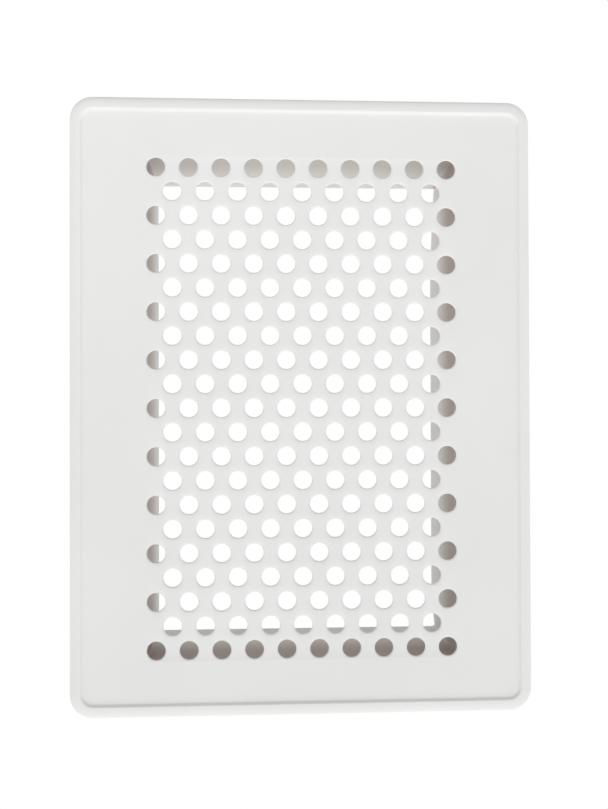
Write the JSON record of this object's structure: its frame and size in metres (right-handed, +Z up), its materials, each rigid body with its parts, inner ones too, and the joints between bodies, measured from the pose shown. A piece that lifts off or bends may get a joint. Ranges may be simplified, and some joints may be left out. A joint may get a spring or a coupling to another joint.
{
  "type": "ventilation grille",
  "caption": "Upright white perforated wall vent grille: a pressed face plate with staggered round holes and a raised rim, on a bent sheet-metal sleeve that goes into the wall.",
  "frame": {"origin": "centre of the wall plane, in the middle of the back edge of the plate's rim", "axes": "+Z up, +X to the right seen from the room, +Y into the wall, so the face looks along -Y"},
  "size_m": [0.1706, 0.054, 0.2278],
  "materials": {
    "white_coat": "satin white powder coat",
    "sleeve_coat": "satin white powder coat, thinner inside"
  },
  "bodies": {
    "root": {"face_plate": "white_coat", "wall_sleeve": "sleeve_coat"}
  },
  "joints": []
}
